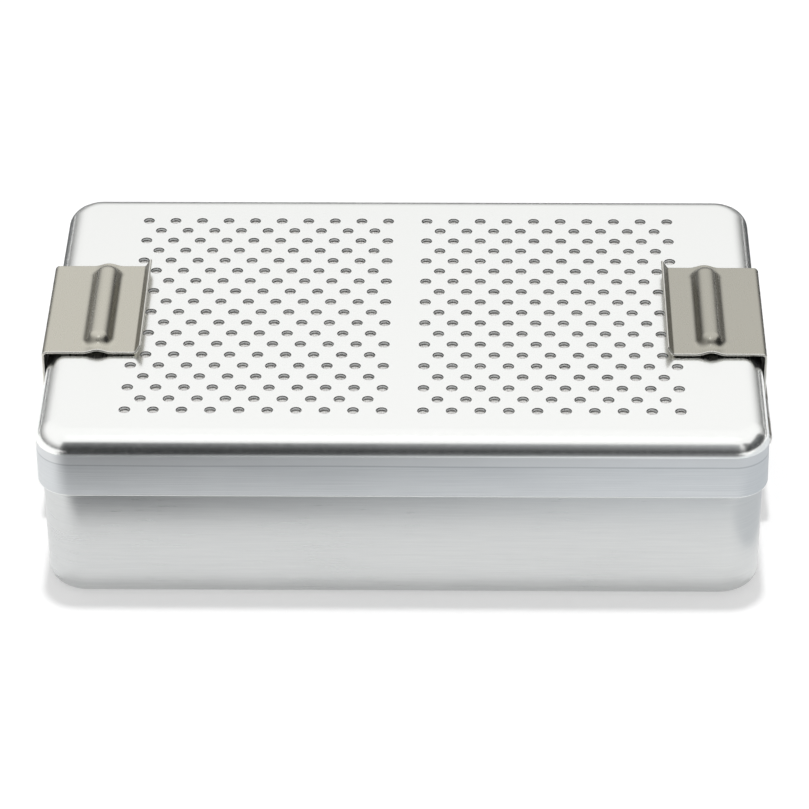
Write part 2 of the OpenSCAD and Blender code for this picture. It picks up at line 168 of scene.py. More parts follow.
def join(pieces):
    """Joins the pieces into the first one and welds what meets."""
    make_active(pieces[0])
    for piece in pieces:
        piece.select_set(True)
    bpy.ops.object.join()
    open_edit()
    bpy.ops.mesh.select_all(action="SELECT")
    bpy.ops.mesh.remove_doubles(threshold=2 * TINY)
    close_edit()
    return pieces[0]


def smooth(piece, degrees=30):
    make_active(piece)
    bpy.ops.object.shade_smooth_by_angle(angle=math.radians(degrees))


def full_copy(piece, name):
    """A copy with its own mesh."""
    copy = piece.copy()
    copy.data = piece.data.copy()
    copy.name = name
    copy.data.name = name
    bpy.context.scene.collection.objects.link(copy)
    return copy


def turned_copy(piece, name):
    """A copy turned half round about the upright middle line."""
    copy = full_copy(piece, name)
    make_active(copy)
    open_edit()
    bpy.ops.mesh.select_all(action="SELECT")
    bpy.ops.transform.rotate(value=math.pi, orient_axis="Z", center_override=(0, 0, 0))
    close_edit()
    return copy


def place(x, y, z=0):
    return Matrix.Translation((x, y, z))


def drawn_skin(name, length, width, height, low, corner, edge_radius, opens_up):
    """The outer skin of a drawn box, open at its top or at its bottom."""
    side = -1 if opens_up else 1
    piece = new_cube(name, (length, width, height), (0, 0, low + height / 2))
    pick("FACE", lambda face: face.normal.z * side > MOSTLY)
    lean = height * DRAFT
    bpy.ops.transform.resize(value=(1 - 2 * lean / length, 1 - 2 * lean / width, 1))
    pick("FACE", lambda face: face.normal.z * side < -MOSTLY)
    bpy.ops.mesh.delete(type="FACE")
    pick("EDGE", is_upright)
    bpy.ops.mesh.bevel(offset=corner, segments=CORNER_CUTS, affect="EDGES")
    closed = low if opens_up else low + height
    pick("EDGE", lambda edge: both(edge, lambda co: abs(co.z - closed) < TINY))
    bpy.ops.mesh.bevel(offset=edge_radius, segments=EDGE_CUTS, affect="EDGES")
    pick("FACE", lambda face: face.normal.z * side > QUITE)
    bpy.ops.mesh.inset(thickness=FLAT_STRIP)
    close_edit()
    return piece


def hole_cell():
    """One cell of the punched field: a round hole bridged to the edge of its oblong."""
    piece = new_grid("hole_cell", CELL_CUTS, (COLUMN_PITCH, ROW_PITCH), (0, 0, 0))
    pick("VERT", lambda vertex: (abs(vertex.co.x) < INSIDE * COLUMN_PITCH
                                 and abs(vertex.co.y) < INSIDE * ROW_PITCH))
    bpy.ops.mesh.delete(type="VERT")
    bpy.ops.mesh.primitive_circle_add(vertices=HOLE_SIDES, radius=HOLE / 2)
    bpy.ops.mesh.select_mode(type="EDGE")
    bpy.ops.mesh.select_all(action="SELECT")
    bpy.ops.mesh.bridge_edge_loops()
    close_edit()
    return piece


def punched_field():
    """The field on the right: long and short rows in turn, with plain half cells at the short ones' ends."""
    first_row = -(ROWS - 1) / 2 * ROW_PITCH
    long_rows = hole_cell()
    short_rows = full_copy(long_rows, "short_rows")
    long_rows.data.transform(place(INNER_COLUMN, first_row))
    spread(long_rows, LONG_ROW, (COLUMN_PITCH, 0, 0))
    spread(long_rows, (ROWS + 1) // 2, (0, 2 * ROW_PITCH, 0))
    short_rows.data.transform(place(INNER_COLUMN + COLUMN_PITCH / 2, first_row + ROW_PITCH))
    spread(short_rows, LONG_ROW - 1, (COLUMN_PITCH, 0, 0))
    spread(short_rows, ROWS // 2, (0, 2 * ROW_PITCH, 0))
    half_cells = new_grid("half_cells", (CELL_CUTS[0] // 2, CELL_CUTS[1]), (COLUMN_PITCH / 2, ROW_PITCH),
                          (INNER_COLUMN - COLUMN_PITCH / 4, first_row + ROW_PITCH, 0))
    close_edit()
    spread(half_cells, 2, (COLUMN_PITCH * (LONG_ROW - 0.5), 0, 0))
    spread(half_cells, ROWS // 2, (0, 2 * ROW_PITCH, 0))
    return join([long_rows, short_rows, half_cells])


right_field = punched_field()
left_field = turned_copy(right_field, "left_field")
strip_half = INNER_COLUMN - COLUMN_PITCH / 2
field_half = ROWS / 2 * ROW_PITCH
field_out = INNER_COLUMN + COLUMN_PITCH * (LONG_ROW - 0.5)
middle_strip = new_grid("middle_strip", (2, CELL_CUTS[1] * ROWS), (2 * strip_half, 2 * field_half), (0, 0, 0))
close_edit()
fields = join([right_field, left_field, middle_strip])
fields.data.transform(place(0, 0, LID_TOP))

lid = drawn_skin("lid", LID_LENGTH, LID_WIDTH, SKIRT, SKIRT_EDGE, LID_CORNER, SHOULDER, opens_up=False)
open_edit()
pick("FACE", lambda face: face.normal.z > QUITE and len(face.verts) > 8)
bpy.ops.mesh.delete(type="FACE")
close_edit()
lid = join([lid, fields])
open_edit()
pick("EDGE", lambda edge: edge.is_boundary and both(edge, lambda co: co.z > LID_TOP - TINY and (
    abs(co.x) > field_out - TINY or abs(co.y) > field_half - TINY)))
bpy.ops.mesh.fill(use_beauty=True)
bpy.ops.mesh.select_all(action="SELECT")
bpy.ops.mesh.normals_make_consistent(inside=False)
close_edit()
modify(lid, "SOLIDIFY", thickness=LID_SHEET, offset=-1, use_even_offset=True)
open_edit()
pick("EDGE", lambda edge: is_sharp(edge) and both(edge, lambda co: co.z > LID_TOP - TINY))
bpy.ops.mesh.bevel(offset=HOLE_RIM, segments=2, affect="EDGES")
pick("EDGE", lambda edge: is_sharp(edge) and both(edge, lambda co: co.z < SKIRT_EDGE + TINY))
bpy.ops.mesh.bevel(offset=SKIRT_RIM, segments=2, affect="EDGES")
close_edit()
smooth(lid, 12)


def new_material(name):
    """A material with an empty node tree, its output and its Principled shader."""
    material = bpy.data.materials.new(name)
    material.use_nodes = True
    nodes = material.node_tree.nodes
    nodes.clear()
    output = nodes.new("ShaderNodeOutputMaterial")
    shader = nodes.new("ShaderNodeBsdfPrincipled")
    material.node_tree.links.new(shader.outputs[0], output.inputs[0])
    return material, shader


def feed(tree, socket, value):
    """Links a socket to the output that gives its value, or sets it to a plain value."""
    if isinstance(value, bpy.types.NodeSocket):
        tree.links.new(value, socket)
    else:
        socket.default_value = value


def coordinate(tree, kind, axis=None):
    """The texture coordinates of one kind, or only their part along an axis."""
    vector = tree.nodes.new("ShaderNodeTexCoord").outputs[kind]
    if axis is None:
        return vector
    split = tree.nodes.new("ShaderNodeSeparateXYZ")
    tree.links.new(vector, split.inputs[0])
    return split.outputs[axis]


def noise(tree, vector, scale, detail, roughness=0.5):
    texture = tree.nodes.new("ShaderNodeTexNoise")
    texture.inputs["Scale"].default_value = scale
    texture.inputs["Detail"].default_value = detail
    texture.inputs["Roughness"].default_value = roughness
    tree.links.new(vector, texture.inputs["Vector"])
    return texture.outputs["Fac"]


def maths(tree, operation, *values):
    node = tree.nodes.new("ShaderNodeMath")
    node.operation = operation
    for socket, value in zip(node.inputs, values):
        feed(tree, socket, value)
    return node.outputs[0]


def map_range(tree, value, old, new=(0, 1), kind="LINEAR"):
    """Carries a value over from one range to another and holds it at the new range's ends."""
    node = tree.nodes.new("ShaderNodeMapRange")
    node.interpolation_type = kind
    names = ("Value", "From Min", "From Max", "To Min", "To Max")
    for name, given in zip(names, (value, *old, *new)):
        feed(tree, node.inputs[name], given)
    return node.outputs[0]


def mix_values(tree, share, first, second):
    node = tree.nodes.new("ShaderNodeMix")
    feed(tree, node.inputs["Factor"], share)
    feed(tree, node.inputs[2], first)
    feed(tree, node.inputs[3], second)
    return node.outputs[0]


def mix_colours(tree, share, first, second):
    node = tree.nodes.new("ShaderNodeMix")
    node.data_type = "RGBA"
    feed(tree, node.inputs["Factor"], share)
    feed(tree, node.inputs[6], first)
    feed(tree, node.inputs[7], second)
    return node.outputs[2]


def bump(tree, height, depth):
    node = tree.nodes.new("ShaderNodeBump")
    node.inputs["Strength"].default_value = 1
    feed(tree, node.inputs["Distance"], depth)
    tree.links.new(height, node.inputs["Height"])
    return node.outputs[0]


LINE_DETAIL, LINE_ROUGHNESS = 2.5, 0.62
MOTTLING_SCALE, MOTTLING_DETAIL = 22, 3
MOTTLING_SHARE = 0.35
GRAIN_RANGE = (0.3, 0.7)


def surface_grain():
    """Fine grain, drawn out into brushed lines where the stretch is uneven, with slow mottling under it."""
    group = bpy.data.node_groups.new("surface_grain", "ShaderNodeTree")
    for name, kind in (("Stretch", "Vector"), ("Dark", "Color"), ("Light", "Color"),
                       ("Low", "Float"), ("High", "Float"), ("Depth", "Float")):
        group.interface.new_socket(name, in_out="INPUT", socket_type="NodeSocket" + kind)
    for name, kind in (("Colour", "Color"), ("Roughness", "Float"), ("Normal", "Vector")):
        group.interface.new_socket(name, in_out="OUTPUT", socket_type="NodeSocket" + kind)
    given = group.nodes.new("NodeGroupInput").outputs
    result = group.nodes.new("NodeGroupOutput").inputs
    stretched = group.nodes.new("ShaderNodeVectorMath")
    stretched.operation = "MULTIPLY"
    feed(group, stretched.inputs[0], coordinate(group, "Object"))
    feed(group, stretched.inputs[1], given["Stretch"])
    lines = noise(group, stretched.outputs[0], 1, LINE_DETAIL, LINE_ROUGHNESS)
    mottling = noise(group, coordinate(group, "Object"), MOTTLING_SCALE, MOTTLING_DETAIL)
    blend = mix_values(group, MOTTLING_SHARE, lines, mottling)
    wide = map_range(group, blend, GRAIN_RANGE)
    feed(group, result["Colour"], mix_colours(group, wide, given["Dark"], given["Light"]))
    feed(group, result["Roughness"], map_range(group, blend, GRAIN_RANGE, (given["Low"], given["High"])))
    feed(group, result["Normal"], bump(group, lines, given["Depth"]))
    return group


SURFACE_GRAIN = surface_grain()


def grained(name, dark, light, low, high, stretch, depth):
    """A material and its shader. Its colour runs from dark to light and its roughness from low to high with
    the grain, which is finer along an axis with more stretch."""
    material, shader = new_material(name)
    tree = material.node_tree
    group = tree.nodes.new("ShaderNodeGroup")
    group.node_tree = SURFACE_GRAIN
    group.inputs["Stretch"].default_value = stretch
    group.inputs["Dark"].default_value = (*dark, 1)
    group.inputs["Light"].default_value = (*light, 1)
    group.inputs["Low"].default_value = low
    group.inputs["High"].default_value = high
    group.inputs["Depth"].default_value = depth
    tree.links.new(group.outputs["Colour"], shader.inputs["Base Color"])
    tree.links.new(group.outputs["Roughness"], shader.inputs["Roughness"])
    tree.links.new(group.outputs["Normal"], shader.inputs["Normal"])
    return material, shader


def brushed(name, dark, light, low, high, stretch, depth, anisotropy=0.0):
    """Bare metal with this grain."""
    material, shader = grained(name, dark, light, low, high, stretch, depth)
    shader.inputs["Metallic"].default_value = 1
    shader.inputs["Anisotropic"].default_value = anisotropy
    return material


def moulded(name, dark, light, low, high):
    """Silicone with a fine moulded tooth."""
    return grained(name, dark, light, low, high, (900, 900, 900), 0.02 * MM)[0]


def paint(piece, *materials):
    piece.data.materials.clear()
    for material in materials:
        piece.data.materials.append(material)


# Painted light and shade: the top and the skirt are one aluminium sheet, yet the top's colour is set near
# white, a painted light, and the skirt's much darker, a painted shade, under its real brushed grain.
lid_top_lit_metal = brushed("lid_top_lit_metal", (0.945, 0.955, 0.935), (0.98, 0.985, 0.97), 0.20, 0.27,
                        (500, 500, 500), 0.003 * MM)
lid_skirt_shaded_metal = brushed("lid_skirt_shaded_metal", (0.58, 0.60, 0.615), (0.73, 0.75, 0.76), 0.32, 0.44,
                          (22, 22, 2400), 0.014 * MM, 0.3)
# Painted shade: a near-black metal for the bevels round each hole, which draws a dark outline round every
# rim.
hole_rim_painted_shade = brushed("hole_rim_painted_shade", (0.03, 0.03, 0.03), (0.08, 0.08, 0.08), 0.30, 0.42,
                          (900, 900, 900), 0.003 * MM)
# Painted sheen: a lighter band along the top of the skirt under the shoulder, with a thin dark line along its
# foot.
SHEEN_BAND_FOOT = 62.6 * MM
FOOT_LINE_WIDTH = 0.45 * MM
FOOT_WANDER = 1.1 * MM
WANDER_SCALE = 9
FOOT_LINE_SHARE = 0.5
FOOT_LINE_COLOUR = (0.30, 0.32, 0.34, 1)
PAINTED_SHEEN_COLOUR = (0.69, 0.705, 0.715, 1)


def paint_skirt_sheen_band(material):
    """Paints a lighter band, a painted sheen, on the skirt from a wandering height up to the shoulder, and a
    thin dark line along the band's foot."""
    tree = material.node_tree
    base_colour = tree.nodes["Principled BSDF"].inputs["Base Color"]
    brushed_colour = base_colour.links[0].from_socket
    wander = noise(tree, coordinate(tree, "Object"), WANDER_SCALE, 1)
    height = maths(tree, "MULTIPLY_ADD", wander, FOOT_WANDER, coordinate(tree, "Object", "Z"))
    band_foot = SHEEN_BAND_FOOT + FOOT_WANDER / 2
    sheen_share = map_range(tree, height, (band_foot, band_foot + 2 * FOOT_LINE_WIDTH))
    distance = maths(tree, "ABSOLUTE", maths(tree, "SUBTRACT", height, band_foot))
    line = map_range(tree, distance, (0, FOOT_LINE_WIDTH), (FOOT_LINE_SHARE, 0))
    sheened = mix_colours(tree, sheen_share, brushed_colour, PAINTED_SHEEN_COLOUR)
    feed(tree, base_colour, mix_colours(tree, line, sheened, FOOT_LINE_COLOUR))


paint_skirt_sheen_band(lid_skirt_shaded_metal)
paint(lid, lid_top_lit_metal, lid_skirt_shaded_metal, hole_rim_painted_shade)
SHADED_SKIRT_SLOT, HOLE_RIM_SHADE_SLOT = 1, 2
# The skirt and the walls of the holes take the skirt's painted shade, and the bevels round the holes take the
# near-black painted shade of their rims.
for face in lid.data.polygons:
    level = face.normal.z
    in_field = abs(face.center.x) < field_out and abs(face.center.y) < field_half
    if abs(level) < 0.05 and face.center.z < LID_TOP - 2 * LID_SHEET:
        face.material_index = SHADED_SKIRT_SLOT
    elif in_field and 0.2 < level < 0.97:
        face.material_index = HOLE_RIM_SHADE_SLOT
    elif in_field and abs(level) < 0.2:
        face.material_index = SHADED_SKIRT_SLOT
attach(lid, "lid")
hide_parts("lid_shell")

# Pan: the lower box, deep-drawn from 1.2 mm aluminium sheet with walls that lean out a little. Its floor is
# flat and stands on the table, and the clips' hinges are riveted to its end walls.
pan_low, pan_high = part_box("base_pan")
PAN_SHEET = 1.2 * MM
PAN_CORNER = 16 * MM
PAN_FLOOR_RADIUS = 5 * MM
PAN_RIM = 0.3 * MM

pan = drawn_skin("pan", pan_high.x - pan_low.x, pan_high.y - pan_low.y, pan_high.z - pan_low.z, pan_low.z,
                 PAN_CORNER, PAN_FLOOR_RADIUS, opens_up=True)
modify(pan, "SOLIDIFY", thickness=PAN_SHEET, offset=-1, use_even_offset=True)
open_edit()
pick("EDGE", lambda edge: is_sharp(edge) and both(edge, lambda co: co.z > pan_high.z - TINY))
bpy.ops.mesh.bevel(offset=PAN_RIM, segments=2, affect="EDGES")
close_edit()
smooth(pan)
pan_metal = brushed("pan_metal", (0.60, 0.61, 0.61), (0.67, 0.68, 0.675), 0.26, 0.35,
                    (50, 50, 1500), 0.010 * MM, 0.2)
paint(pan, pan_metal)
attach(pan, "base")
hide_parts("base_pan")

# Clips: each is bent from 1 mm stainless sheet. A hollow rib is pressed up across the plate, which lifts the
# sheet's edges into a low arch. The inner edge is turned up into a lip for the finger, and the foot of the
# leg is rolled round the hinge pin in three loops.
CLIP_SHEET = 1 * MM
CLIP_REACH = 34.7 * MM
CLIP_CUTS = (68, 128)
CLIP_RIM = 0.36 * MM
RIB_SETBACK = 20.5 * MM
RIB_HEIGHT = 4.7 * MM
RIB_RADIUS = 5 * MM
RIB_STEEP = math.radians(65)
RIB_MARGIN = 1.6 * MM
EDGE_ARCH = 1.3 * MM
ARCH_HALF = 6 * MM
LIP_HEIGHT = 3 * MM
LIP_LEAN = math.radians(30)
LIP_BEND = 1 * MM
LEG_OUT = 1.4 * MM
LEG_BEND = 2 * MM
LOOP_TURN = math.radians(300)
LOOP_EDGES = (6.2 * MM, 19.4 * MM)
NOTCH_TOP = 38.7 * MM
clip_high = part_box("right_clip")[1]
clip_half = clip_high.y
plate_top = clip_high.z - RIB_HEIGHT
leg_fold = lid_high.x + LEG_OUT - LEG_BEND
lip_fold = lid_high.x - CLIP_REACH
rib_x = lid_high.x - RIB_SETBACK
pin_low, pin_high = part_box("right_hinge_pin")
pin_x = (pin_low.x + pin_high.x) / 2
pin_z = (pin_low.z + pin_high.z) / 2
rib_flank = RIB_RADIUS * math.sin(RIB_STEEP)
rib_fillet = RIB_HEIGHT / (1 - math.cos(RIB_STEEP)) - RIB_RADIUS
rib_half = (RIB_RADIUS + rib_fillet) * math.sin(RIB_STEEP)
rib_straight = clip_half - RIB_MARGIN - rib_half


def rib_rise(distance):
    """Height of the rib at a distance from its middle: a round crest that runs out in a hollow fillet."""
    if distance < rib_flank:
        return RIB_HEIGHT - RIB_RADIUS + math.sqrt(RIB_RADIUS ** 2 - distance ** 2)
    if distance < rib_half:
        return rib_fillet - math.sqrt(rib_fillet ** 2 - (rib_half - distance) ** 2)
    return 0.0


def arch_rise(distance):
    """Height of the low arch in the edges at a distance from its middle."""
    if distance >= ARCH_HALF:
        return 0.0
    return EDGE_ARCH * math.cos(math.pi / 2 * distance / ARCH_HALF) ** 2


def pressed(x, y):
    """Height that the press leaves over the plate at a place."""
    across = abs(x - rib_x)
    along = max(abs(y) - rib_straight, 0.0)
    rib = rib_rise(math.hypot(across, along))
    arch = arch_rise(across)
    return arch + rib * (1 - arch / RIB_HEIGHT)


def is_at_x(x):
    return lambda edge: edge.is_boundary and both(edge, lambda co: abs(co.x - x) < TINY)


def push_out(x, z):
    bpy.ops.mesh.extrude_edges_move(TRANSFORM_OT_translate={"value": (x, 0, z)})


def roll(steps, angle, x, z):
    """Sweeps the picked edges round a line that runs from front to back."""
    bpy.ops.mesh.spin(steps=steps, angle=angle, center=(x, 0, z), axis=(0, 1, 0))


right_clip = new_grid("right_clip_dressed", CLIP_CUTS, (leg_fold - lip_fold, 2 * clip_half),
                      ((leg_fold + lip_fold) / 2, 0, plate_top))
pick("EDGE", is_at_x(lip_fold))
roll(6, LIP_LEAN - math.pi / 2, lip_fold, plate_top + LIP_BEND)
push_out(-LIP_HEIGHT * math.tan(LIP_LEAN), LIP_HEIGHT)
pick("EDGE", is_at_x(leg_fold))
roll(8, -math.pi / 2, leg_fold, plate_top - LEG_BEND)
push_out(0, NOTCH_TOP - plate_top + LEG_BEND)
push_out(0, pin_z - NOTCH_TOP)
for edge_y in (-LOOP_EDGES[1], -LOOP_EDGES[0], LOOP_EDGES[0], LOOP_EDGES[1]):
    pick("FACE", lambda face: face.calc_center_median().z < NOTCH_TOP)
    bpy.ops.mesh.bisect(plane_co=(0, edge_y, 0), plane_no=(0, 1, 0))
pick("FACE", lambda face: face.calc_center_median().z < NOTCH_TOP
     and LOOP_EDGES[0] < abs(face.calc_center_median().y) < LOOP_EDGES[1])
bpy.ops.mesh.delete(type="FACE")
pick("EDGE", lambda edge: edge.is_boundary and both(edge, lambda co: co.z < pin_z + TINY))
roll(24, LOOP_TURN, pin_x, pin_z)
close_edit()
for vertex in right_clip.data.vertices:
    if vertex.co.z > plate_top - TINY and lip_fold < vertex.co.x < leg_fold:
        vertex.co.z += pressed(vertex.co.x, vertex.co.y)
modify(right_clip, "SOLIDIFY", thickness=CLIP_SHEET, offset=-1, use_even_offset=True)
open_edit()
pick("EDGE", is_sharp)
bpy.ops.mesh.bevel(offset=CLIP_RIM, segments=3, affect="EDGES")
close_edit()
smooth(right_clip, 45)
# The picked edge bevels take the second slot, the painted highlight.
for face in right_clip.data.polygons:
    face.material_index = int(face.select)
left_clip = turned_copy(right_clip, "left_clip_dressed")

# Painted shade: the rib's leaning flanks are mixed towards near black.
FLANK_SHADE_SHARE = 0.62
FLANK_LEVELS = (0.97, 0.60)
UPRIGHT_LEVELS = (0.10, 0.30)
FLANK_SHADE_COLOUR = (0.07, 0.066, 0.056, 1)


def paint_flank_shade(material):
    """Paints shade where a face leans, as on the rib's flanks, by mixing its colour towards near black. The
    leg stays bright.
    """
    tree = material.node_tree
    base_colour = tree.nodes["Principled BSDF"].inputs["Base Color"]
    plain = base_colour.links[0].from_socket
    level = coordinate(tree, "Normal", "Z")
    lean = map_range(tree, level, FLANK_LEVELS, (0, FLANK_SHADE_SHARE), "SMOOTHSTEP")
    off_leg = map_range(tree, level, UPRIGHT_LEVELS)
    share = maths(tree, "MULTIPLY", lean, off_leg)
    feed(tree, base_colour, mix_colours(tree, share, plain, FLANK_SHADE_COLOUR))


# Painted light and shade: both clips are the same stainless steel, but the right one is painted darker and
# the left one lighter.
right_clip_shaded_steel = brushed("right_clip_shaded_steel", (0.47, 0.455, 0.395), (0.50, 0.485, 0.425), 0.24, 0.32,
                           (900, 90, 900), 0.0004 * MM)
left_clip_lit_steel = brushed("left_clip_lit_steel", (0.58, 0.56, 0.485), (0.61, 0.59, 0.515), 0.24, 0.32,
                          (900, 90, 900), 0.0004 * MM)
# Painted highlight: a much lighter steel on the clips' edge bevels draws the light line along their edges.
clip_edge_painted_highlight = brushed("clip_edge_painted_highlight", (0.74, 0.73, 0.69), (0.86, 0.85, 0.80), 0.28, 0.40,
                          (900, 900, 900), 0.002 * MM)
CLIPS = (("right_clip", right_clip, right_clip_shaded_steel), ("left_clip", left_clip, left_clip_lit_steel))
for node, piece, metal in CLIPS:
    paint_flank_shade(metal)
    slots = [face.material_index for face in piece.data.polygons]
    paint(piece, metal, clip_edge_painted_highlight)
    piece.data.polygons.foreach_set("material_index", slots)
    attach(piece, node)
    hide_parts(node)

# Hinges: on each end wall a bracket folded from stainless sheet, with loops rolled round a drawn pin. The
# pin's ends are upset, and round-headed rivets hold the bracket to the wall.
hinge_steel = brushed("hinge_steel", (0.50, 0.50, 0.49), (0.62, 0.62, 0.60), 0.24, 0.36,
                      (120, 900, 900), 0.003 * MM)
pin_steel = brushed("pin_steel", (0.56, 0.56, 0.55), (0.68, 0.68, 0.67), 0.16, 0.26,
                    (900, 60, 900), 0.002 * MM)
for side in ("left_", "right_"):
    paint(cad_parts[side + "hinge_bracket"], hinge_steel)
    paint(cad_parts[side + "hinge_pin"], pin_steel)
    paint(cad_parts[side + "bracket_rivets"], pin_steel)

# Filters: sheets of woven filter cloth, cut to cover one field of holes each. They lie loose under the lid,
# and their fine rows of thread show pale through the holes.
FILTER_SHEET = 0.3 * MM
FILTER_CORNER = 2 * MM
FILTER_CUTS = (60, 76)
FILTER_WAVE = 0.06 * MM
WAVE_TURN = 2 * math.pi / (13 * MM)
THREAD_PITCH = 0.9 * MM
THREAD_DEPTH = 0.12 * MM
WAVE_PERIOD = math.pi / 10
WARP_SHARE = 0.35
GAP_COLOUR = (0.42, 0.41, 0.40, 1)
THREAD_COLOUR = (0.93, 0.92, 0.89, 1)
CLOTH_ROUGHNESS = (0.95, 0.78)


def thread_rows(tree, direction):
    """Rounded rows of thread that follow one another along a direction."""
    rows = tree.nodes.new("ShaderNodeTexWave")
    rows.bands_direction = direction
    rows.inputs["Scale"].default_value = WAVE_PERIOD / THREAD_PITCH
    rows.inputs["Distortion"].default_value = 0.6
    rows.inputs["Detail"].default_value = 1
    tree.links.new(coordinate(tree, "Object"), rows.inputs["Vector"])
    return rows.outputs["Fac"]


filter_cloth, shader = new_material("filter_cloth")
tree = filter_cloth.node_tree
weave = maths(tree, "MULTIPLY_ADD", thread_rows(tree, "X"), WARP_SHARE, thread_rows(tree, "Y"))
feed(tree, shader.inputs["Base Color"], mix_colours(tree, weave, GAP_COLOUR, THREAD_COLOUR))
feed(tree, shader.inputs["Roughness"], map_range(tree, weave, (0, 1), CLOTH_ROUGHNESS))
feed(tree, shader.inputs["Normal"], bump(tree, weave, THREAD_DEPTH))
for node in ("filter_left", "filter_right"):
    low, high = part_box(node)
    size = high - low
    centre = ((low.x + high.x) / 2, (low.y + high.y) / 2, low.z + FILTER_WAVE + FILTER_SHEET)
    sheet = new_grid(node + "_dressed", FILTER_CUTS, size, centre)
    pick("VERT", lambda vertex: (abs(vertex.co.x - centre[0]) > INSIDE * size.x
                                 and abs(vertex.co.y) > INSIDE * size.y))
    bpy.ops.mesh.bevel(offset=FILTER_CORNER, segments=3, affect="VERTICES")
    close_edit()
    for vertex in sheet.data.vertices:
        x, y = WAVE_TURN * vertex.co.x, WAVE_TURN * vertex.co.y
        vertex.co.z += FILTER_WAVE * math.sin(x) * math.sin(0.7 * y + 1)
    modify(sheet, "SOLIDIFY", thickness=FILTER_SHEET, offset=-1)
    smooth(sheet)
    paint(sheet, filter_cloth)
    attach(sheet, "lid")
    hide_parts(node)

# Retainers: frames pressed from thin stainless sheet that hold the filters up. Their inner edges lie on a
# bar under the middle of the lid, and a latch that turns on a stud holds each outer edge.
retainer_steel = brushed("retainer_steel", (0.56, 0.56, 0.56), (0.70, 0.70, 0.69), 0.24, 0.36,
                         (700, 60, 700), 0.004 * MM)
for node in ("retainer_left", "retainer_right", "retainer_bar"):
    paint(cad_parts[node], retainer_steel)
for side in ("left_", "right_"):
    paint(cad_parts[side + "latch_stud"], pin_steel)
    paint(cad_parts[side + "turn_latch"], hinge_steel)

# Seal: an endless ring moulded from grey-blue silicone, held inside the lid where it meets the pan's rim.
seal_silicone = moulded("seal_silicone", (0.50, 0.55, 0.60), (0.62, 0.66, 0.70), 0.42, 0.56)
paint(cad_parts["lid_seal"], seal_silicone)

# Tray: a drilled stainless bottom welded into a frame of leaning walls with a rim turned out, which lifts
# out of the pan. It stands on four silicone feet.
tray_steel = brushed("tray_steel", (0.58, 0.58, 0.58), (0.72, 0.72, 0.72), 0.22, 0.34,
                     (60, 700, 700), 0.004 * MM)
for node in ("tray_bottom", "tray_frame"):
    paint(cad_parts[node], tray_steel)
foot_silicone = moulded("foot_silicone", (0.28, 0.31, 0.33), (0.38, 0.41, 0.43), 0.50, 0.64)
paint(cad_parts["tray_feet"], foot_silicone)

# Rails: two bars moulded from blue silicone across the tray, with notches that hold the handles apart.
rail_silicone = moulded("rail_silicone", (0.07, 0.22, 0.44), (0.12, 0.31, 0.56), 0.44, 0.58)
for node in ("left_rail", "right_rail"):
    paint(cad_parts[node], rail_silicone)

# Bails: handles bent from stainless wire that fold down inside the tray's ends, in lugs welded to its wall.
bail_steel = brushed("bail_steel", (0.54, 0.54, 0.53), (0.66, 0.66, 0.65), 0.18, 0.28,
                     (700, 80, 700), 0.002 * MM)
for node in ("left_bail", "right_bail", "bail_lugs"):
    paint(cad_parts[node], bail_steel)

# Stage: a white floor under a white sky. A lamp overhead throws a narrow shadow to the front. The metal also
# mirrors a sky that dims towards the horizon, and dark screens and mats in front and at the right. Each side
# of a screen's shade is a place along X with the light at its foot and at its head.
FLOOR_SIZE = 20
FLOOR_GLOW = 1.71
FLOOR_GLOW_SHARE = 0.21
FLOOR_WHITE = (0.9, 0.9, 0.9, 1)
WHITE = (1, 1, 1, 1)
SKY = 1.0
HORIZON_LEFT, HORIZON_RIGHT = 0.10, 0.0
SKY_CLEARS = 0.53
AMBIENT = 0.55
LAMP_POWER = 1.5
LAMP_SPREAD = math.radians(4)
LAMP_TILT = math.radians(6.3)
FRONT = -0.9
SCREENS = {
    "front_screen": ((-0.64, 0.48), (FRONT - 0.01, FRONT), (0, 1.07)),
    "corner_screen": ((0.72, 1.7), (FRONT - 0.01, FRONT), (0, 1.3)),
    "right_screen": ((1.7, 1.71), (FRONT, 0.7), (0, 1.35)),
    "near_mat": ((-0.22, 0.22), (-0.25, -0.165), (0, 0.002)),
    "far_mat": ((-0.30, 0.26), (FRONT, -0.25), (0, 0.002)),
    "right_mat": ((0.165, 0.81), (-0.22, 0.07), (0, 0.002)),
    "back_mat": ((-0.60, 0.60), (0.16, 1.5), (0, 0.002)),
    "lamp_face": ((-0.15, 0.15), (-0.49, -0.27), (1.6, 1.61)),
}
SHADES = {
    "front_screen": ((-0.22, 0.03, 0.14), (0.20, 0.07, 0.40)),
    "corner_screen": ((-0.22, 0.03, 0.12), (0.20, 0.03, 0.12)),
    "right_screen": ((-0.22, 0.05, 0.12), (0.20, 0.05, 0.12)),
    "near_mat": ((-0.12, 0.30, 0.30), (0.11, 0.90, 0.90)),
    "far_mat": ((-0.14, 0.02, 0.02), (0.14, 0.16, 0.16)),
    "right_mat": ((-0.22, 0.78, 0.78), (0.20, 0.78, 0.78)),
    "back_mat": ((-0.22, 0.15, 0.15), (0.20, 0.1, 0.1)),
    "lamp_face": ((-0.22, 4, 4), (0.20, 4, 4)),
}
SHADE_HEIGHTS = (0.2, 0.9)
SHADE_TINT = (0.97, 1.0, 1.03)


def glow_material(name, colour):
    """A material that only glows, with its output and its shader."""
    material = bpy.data.materials.new(name)
    material.use_nodes = True
    nodes = material.node_tree.nodes
    nodes.clear()
    output = nodes.new("ShaderNodeOutputMaterial")
    glow = nodes.new("ShaderNodeEmission")
    glow.inputs["Color"].default_value = (*colour, 1)
    material.node_tree.links.new(glow.outputs[0], output.inputs[0])
    return material, output, glow


